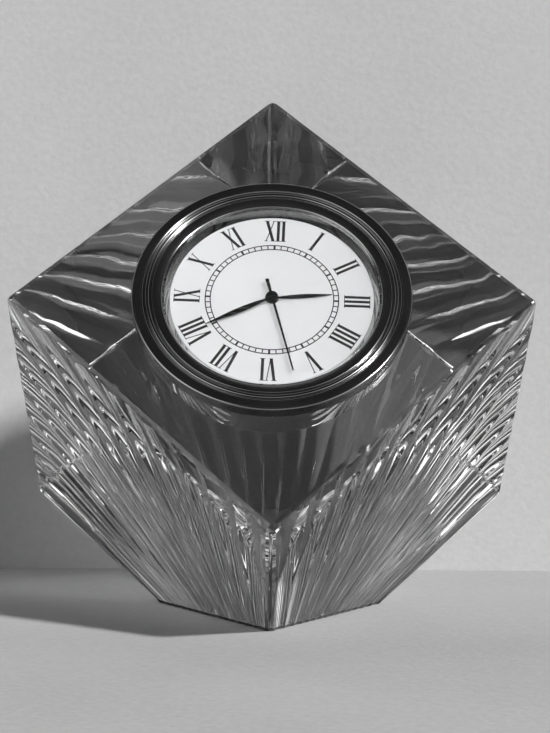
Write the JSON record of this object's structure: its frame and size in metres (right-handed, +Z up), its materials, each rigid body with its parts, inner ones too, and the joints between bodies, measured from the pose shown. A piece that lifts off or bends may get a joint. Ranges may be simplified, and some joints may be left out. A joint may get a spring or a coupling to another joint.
{
  "type": "crystal cube desk clock",
  "caption": "Fluted crystal cube standing on a cut corner, with a round quartz clock insert, Roman dial and black hands in its front face.",
  "frame": {"origin": "centre of the triangular base the block stands on", "axes": "+Z up along the cube's upright body diagonal, -Y towards the viewer of the dial, +X to the viewer's right"},
  "size_m": [0.0794, 0.0913, 0.0823],
  "materials": {
    "crystal": "polished lead crystal",
    "gunmetal": "polished dark plating",
    "lens": "polished mineral glass",
    "reflector": "polished",
    "dial_white": "white with black print",
    "case_steel": "satin",
    "clear_vinyl": "translucent soft plastic",
    "black_plastic": "matte",
    "brass": "satin",
    "plate_brass": "brushed",
    "white_plastic": "moulded",
    "bright_steel": "bright",
    "magnetic_steel": "annealed",
    "board_green": "solder mask",
    "copper_wire": "enamelled wire",
    "hand_black": "black"
  },
  "bodies": {
    "block": {"crystal_block": "crystal"},
    "insert": {"bezel": "gunmetal", "lens": "lens", "reflector_ring": "reflector", "dial": "dial_white", "insert_case": "case_steel", "gasket_band": "clear_vinyl", "rear_cover": "black_plastic", "main_plate": "plate_brass", "centre_bridge": "bright_steel", "train_bridge": "bright_steel", "plate_screws": "bright_steel", "circuit_board": "board_green", "chip_cover": "black_plastic", "quartz_can": "bright_steel", "coil_core": "magnetic_steel", "coil_bobbin": "white_plastic", "coil_winding": "copper_wire", "stator": "magnetic_steel", "coin_cell": "bright_steel", "contact_positive": "bright_steel", "contact_negative": "bright_steel"},
    "seconds": {"seconds_wheel": "brass", "second_hand": "hand_black"},
    "rotor": {"rotor": "magnetic_steel"},
    "step": {"step_wheel": "brass"},
    "third": {"third_wheel": "brass"},
    "minute": {"centre_wheel": "brass", "cannon_pinion": "bright_steel", "minute_hand": "hand_black"},
    "minute_wheel": {"minute_wheel": "brass"},
    "hour": {"hour_wheel": "brass", "hour_hand": "hand_black"},
    "setting": {"setting_shaft": "bright_steel", "setting_knob": "black_plastic"},
    "cap": {"battery_cap": "black_plastic"}
  },
  "joints": [
    {"name": "insert_pull", "type": "slide", "parent": "block", "child": "insert", "axis": [0, -0.8165, 0.5774], "range_m": [0, 0.03]},
    {"name": "seconds_spin", "type": "hinge", "parent": "insert", "child": "seconds", "pos_m": [0, -0.02, 0.04798], "axis": [0, -0.8165, 0.5774], "continuous": true},
    {"name": "rotor_spin", "type": "hinge", "parent": "insert", "child": "rotor", "pos_m": [0.0059, -0.02299, 0.04376], "axis": [0, -0.8165, 0.5774], "continuous": true},
    {"name": "step_spin", "type": "hinge", "parent": "insert", "child": "step", "pos_m": [0.00313, -0.02233, 0.04469], "axis": [0, -0.8165, 0.5774], "continuous": true},
    {"name": "third_spin", "type": "hinge", "parent": "insert", "child": "third", "pos_m": [0.00114, -0.01696, 0.05229], "axis": [0, -0.8165, 0.5774], "continuous": true},
    {"name": "minute_spin", "type": "hinge", "parent": "insert", "child": "minute", "pos_m": [0, -0.02, 0.04798], "axis": [0, -0.8165, 0.5774], "continuous": true},
    {"name": "minute_wheel_spin", "type": "hinge", "parent": "insert", "child": "minute_wheel", "pos_m": [-0.00221, -0.01836, 0.0503], "axis": [0, -0.8165, 0.5774], "continuous": true},
    {"name": "hour_spin", "type": "hinge", "parent": "insert", "child": "hour", "pos_m": [0, -0.02, 0.04798], "axis": [0, -0.8165, 0.5774], "continuous": true},
    {"name": "knob_spin", "type": "hinge", "parent": "insert", "child": "setting", "pos_m": [-0.00465, -0.01684, 0.05246], "axis": [0, -0.8165, 0.5774], "continuous": true},
    {"name": "cap_turn", "type": "hinge", "parent": "insert", "child": "cap", "pos_m": [-0.0093, -0.01796, 0.04047], "axis": [0, 0.8165, -0.5774], "range_deg": [0, 50]}
  ],
  "couplings": [
    {"joint": "rotor_spin", "follows": "seconds_spin", "ratio": 30},
    {"joint": "step_spin", "follows": "seconds_spin", "ratio": -7.5},
    {"joint": "third_spin", "follows": "seconds_spin", "ratio": -0.125},
    {"joint": "minute_spin", "follows": "seconds_spin", "ratio": 0.016667},
    {"joint": "minute_wheel_spin", "follows": "seconds_spin", "ratio": -0.0055556},
    {"joint": "hour_spin", "follows": "seconds_spin", "ratio": 0.0013889},
    {"joint": "knob_spin", "follows": "seconds_spin", "ratio": 0.016667}
  ]
}
